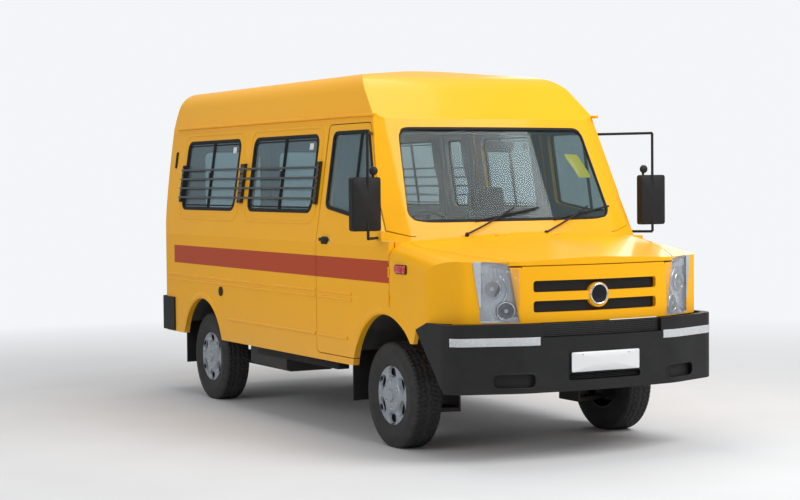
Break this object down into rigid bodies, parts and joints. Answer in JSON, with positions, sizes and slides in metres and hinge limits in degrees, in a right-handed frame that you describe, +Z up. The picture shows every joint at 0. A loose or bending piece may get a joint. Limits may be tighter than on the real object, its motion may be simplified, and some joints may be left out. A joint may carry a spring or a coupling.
{
  "type": "school bus",
  "caption": "High-roof van-bodied school bus with short bonnet, hinged side and rear doors, barred side windows and single rear wheels.",
  "frame": {"origin": "on the ground under the middle of the vehicle", "axes": "+X towards the front, +Y to the vehicle's left, +Z up"},
  "size_m": [5.0576, 2.43, 2.5113],
  "materials": {
    "body_paint": "gloss golden yellow paint",
    "floor_metal": "matt dark underbody coating",
    "lamp_lens": "clear moulded lens",
    "black_plastic": "grained black plastic",
    "glass": "lightly tinted glass",
    "chassis_metal": "black chassis paint",
    "engine_metal": "bare casting",
    "exhaust_metal": "dull steel",
    "tyre": "black rubber",
    "wheel_silver": "silver paint",
    "tail_lens": "red lens",
    "flap_rubber": "matt black rubber",
    "guard_steel": "satin black paint",
    "dash_plastic": "grained dark grey plastic",
    "wheel_rim_plastic": "soft black plastic",
    "seat_fabric": "woven grey fabric",
    "seat_steel": "black powder coat",
    "curtain_cloth": "plain grey cloth"
  },
  "bodies": {
    "body": {"side_panel_right": "body_paint", "side_panel_left": "body_paint", "rear_frame": "body_paint", "roof_panel": "body_paint", "cowl_panel": "body_paint", "wing_right": "body_paint", "wing_left": "body_paint", "grille_panel": "body_paint", "floor_pan": "floor_metal", "headlamps": "lamp_lens", "grille_mesh": "black_plastic", "side_glass": "glass", "windscreen": "glass", "chassis_frame": "chassis_metal", "front_suspension": "chassis_metal", "rear_axle": "chassis_metal", "leaf_springs": "chassis_metal", "propeller_shaft": "chassis_metal", "engine_block": "engine_metal", "exhaust": "exhaust_metal", "fuel_tank": "chassis_metal", "front_bumper": "black_plastic", "rear_bumper": "black_plastic", "tail_lamps": "tail_lens", "fuel_cap": "black_plastic", "mud_flaps": "flap_rubber", "window_guards": "guard_steel", "wipers": "black_plastic", "dashboard": "dash_plastic", "front_seats": "seat_fabric", "rear_seats": "seat_fabric", "seat_frames": "seat_steel", "curtains": "curtain_cloth"},
    "driver_door": {"driver_door": "body_paint", "driver_door_glass": "glass", "mirror_right": "black_plastic"},
    "front_passenger_door": {"front_passenger_door": "body_paint", "front_passenger_door_glass": "glass", "mirror_left": "black_plastic"},
    "entry_door": {"entry_door": "body_paint", "entry_door_glass": "glass"},
    "rear_door_right": {"rear_door_right": "body_paint", "rear_door_right_glass": "glass"},
    "rear_door_left": {"rear_door_left": "body_paint", "rear_door_left_glass": "glass"},
    "bonnet": {"bonnet": "body_paint"},
    "knuckle_right": {"knuckle_right": "chassis_metal"},
    "knuckle_left": {"knuckle_left": "chassis_metal"},
    "steering_wheel": {"steering_wheel": "wheel_rim_plastic"},
    "road_wheel_front_right": {"tyre_front_right": "tyre", "wheel_front_right": "wheel_silver"},
    "road_wheel_front_left": {"tyre_front_left": "tyre", "wheel_front_left": "wheel_silver"},
    "road_wheel_rear_right": {"tyre_rear_right": "tyre", "wheel_rear_right": "wheel_silver"},
    "road_wheel_rear_left": {"tyre_rear_left": "tyre", "wheel_rear_left": "wheel_silver"}
  },
  "joints": [
    {"name": "driver_door_hinge", "type": "hinge", "parent": "body", "child": "driver_door", "pos_m": [1.549, -0.9875, 1.05], "axis": [0, 0, 1], "range_deg": [0, 65]},
    {"name": "front_passenger_door_hinge", "type": "hinge", "parent": "body", "child": "front_passenger_door", "pos_m": [1.549, 0.9875, 1.05], "axis": [0, 0, -1], "range_deg": [0, 65]},
    {"name": "entry_door_hinge", "type": "hinge", "parent": "body", "child": "entry_door", "pos_m": [0.414, 0.9875, 0.94], "axis": [0, 0, -1], "range_deg": [0, 80]},
    {"name": "rear_door_right_hinge", "type": "hinge", "parent": "body", "child": "rear_door_right", "pos_m": [-2.485, -0.7, 1.045], "axis": [0, 0, 1], "range_deg": [0, 100]},
    {"name": "rear_door_left_hinge", "type": "hinge", "parent": "body", "child": "rear_door_left", "pos_m": [-2.485, 0.7, 1.045], "axis": [0, 0, -1], "range_deg": [0, 100]},
    {"name": "bonnet_hinge", "type": "hinge", "parent": "body", "child": "bonnet", "pos_m": [1.619, 0, 1.356], "axis": [0, -1, 0], "range_deg": [0, 55]},
    {"name": "steer_right", "type": "hinge", "parent": "body", "child": "knuckle_right", "pos_m": [1.415, -0.735, 0.337], "axis": [0, 0, 1], "range_deg": [-33, 33]},
    {"name": "steer_left", "type": "hinge", "parent": "body", "child": "knuckle_left", "pos_m": [1.415, 0.735, 0.337], "axis": [0, 0, 1], "range_deg": [-33, 33]},
    {"name": "steering_wheel_turn", "type": "hinge", "parent": "body", "child": "steering_wheel", "pos_m": [0.9298, -0.39, 1.3224], "axis": [-0.8988, 0, 0.4384], "range_deg": [-500, 500]},
    {"name": "spin_front_right", "type": "hinge", "parent": "knuckle_right", "child": "road_wheel_front_right", "pos_m": [1.415, -0.812, 0.337], "axis": [0, 1, 0], "continuous": true},
    {"name": "spin_front_left", "type": "hinge", "parent": "knuckle_left", "child": "road_wheel_front_left", "pos_m": [1.415, 0.812, 0.337], "axis": [0, 1, 0], "continuous": true},
    {"name": "spin_rear_right", "type": "hinge", "parent": "body", "child": "road_wheel_rear_right", "pos_m": [-1.635, -0.812, 0.337], "axis": [0, 1, 0], "continuous": true},
    {"name": "spin_rear_left", "type": "hinge", "parent": "body", "child": "road_wheel_rear_left", "pos_m": [-1.635, 0.812, 0.337], "axis": [0, 1, 0], "continuous": true}
  ],
  "couplings": [
    {"joint": "steer_left", "follows": "steer_right", "ratio": 1},
    {"joint": "steering_wheel_turn", "follows": "steer_right", "ratio": 15}
  ]
}
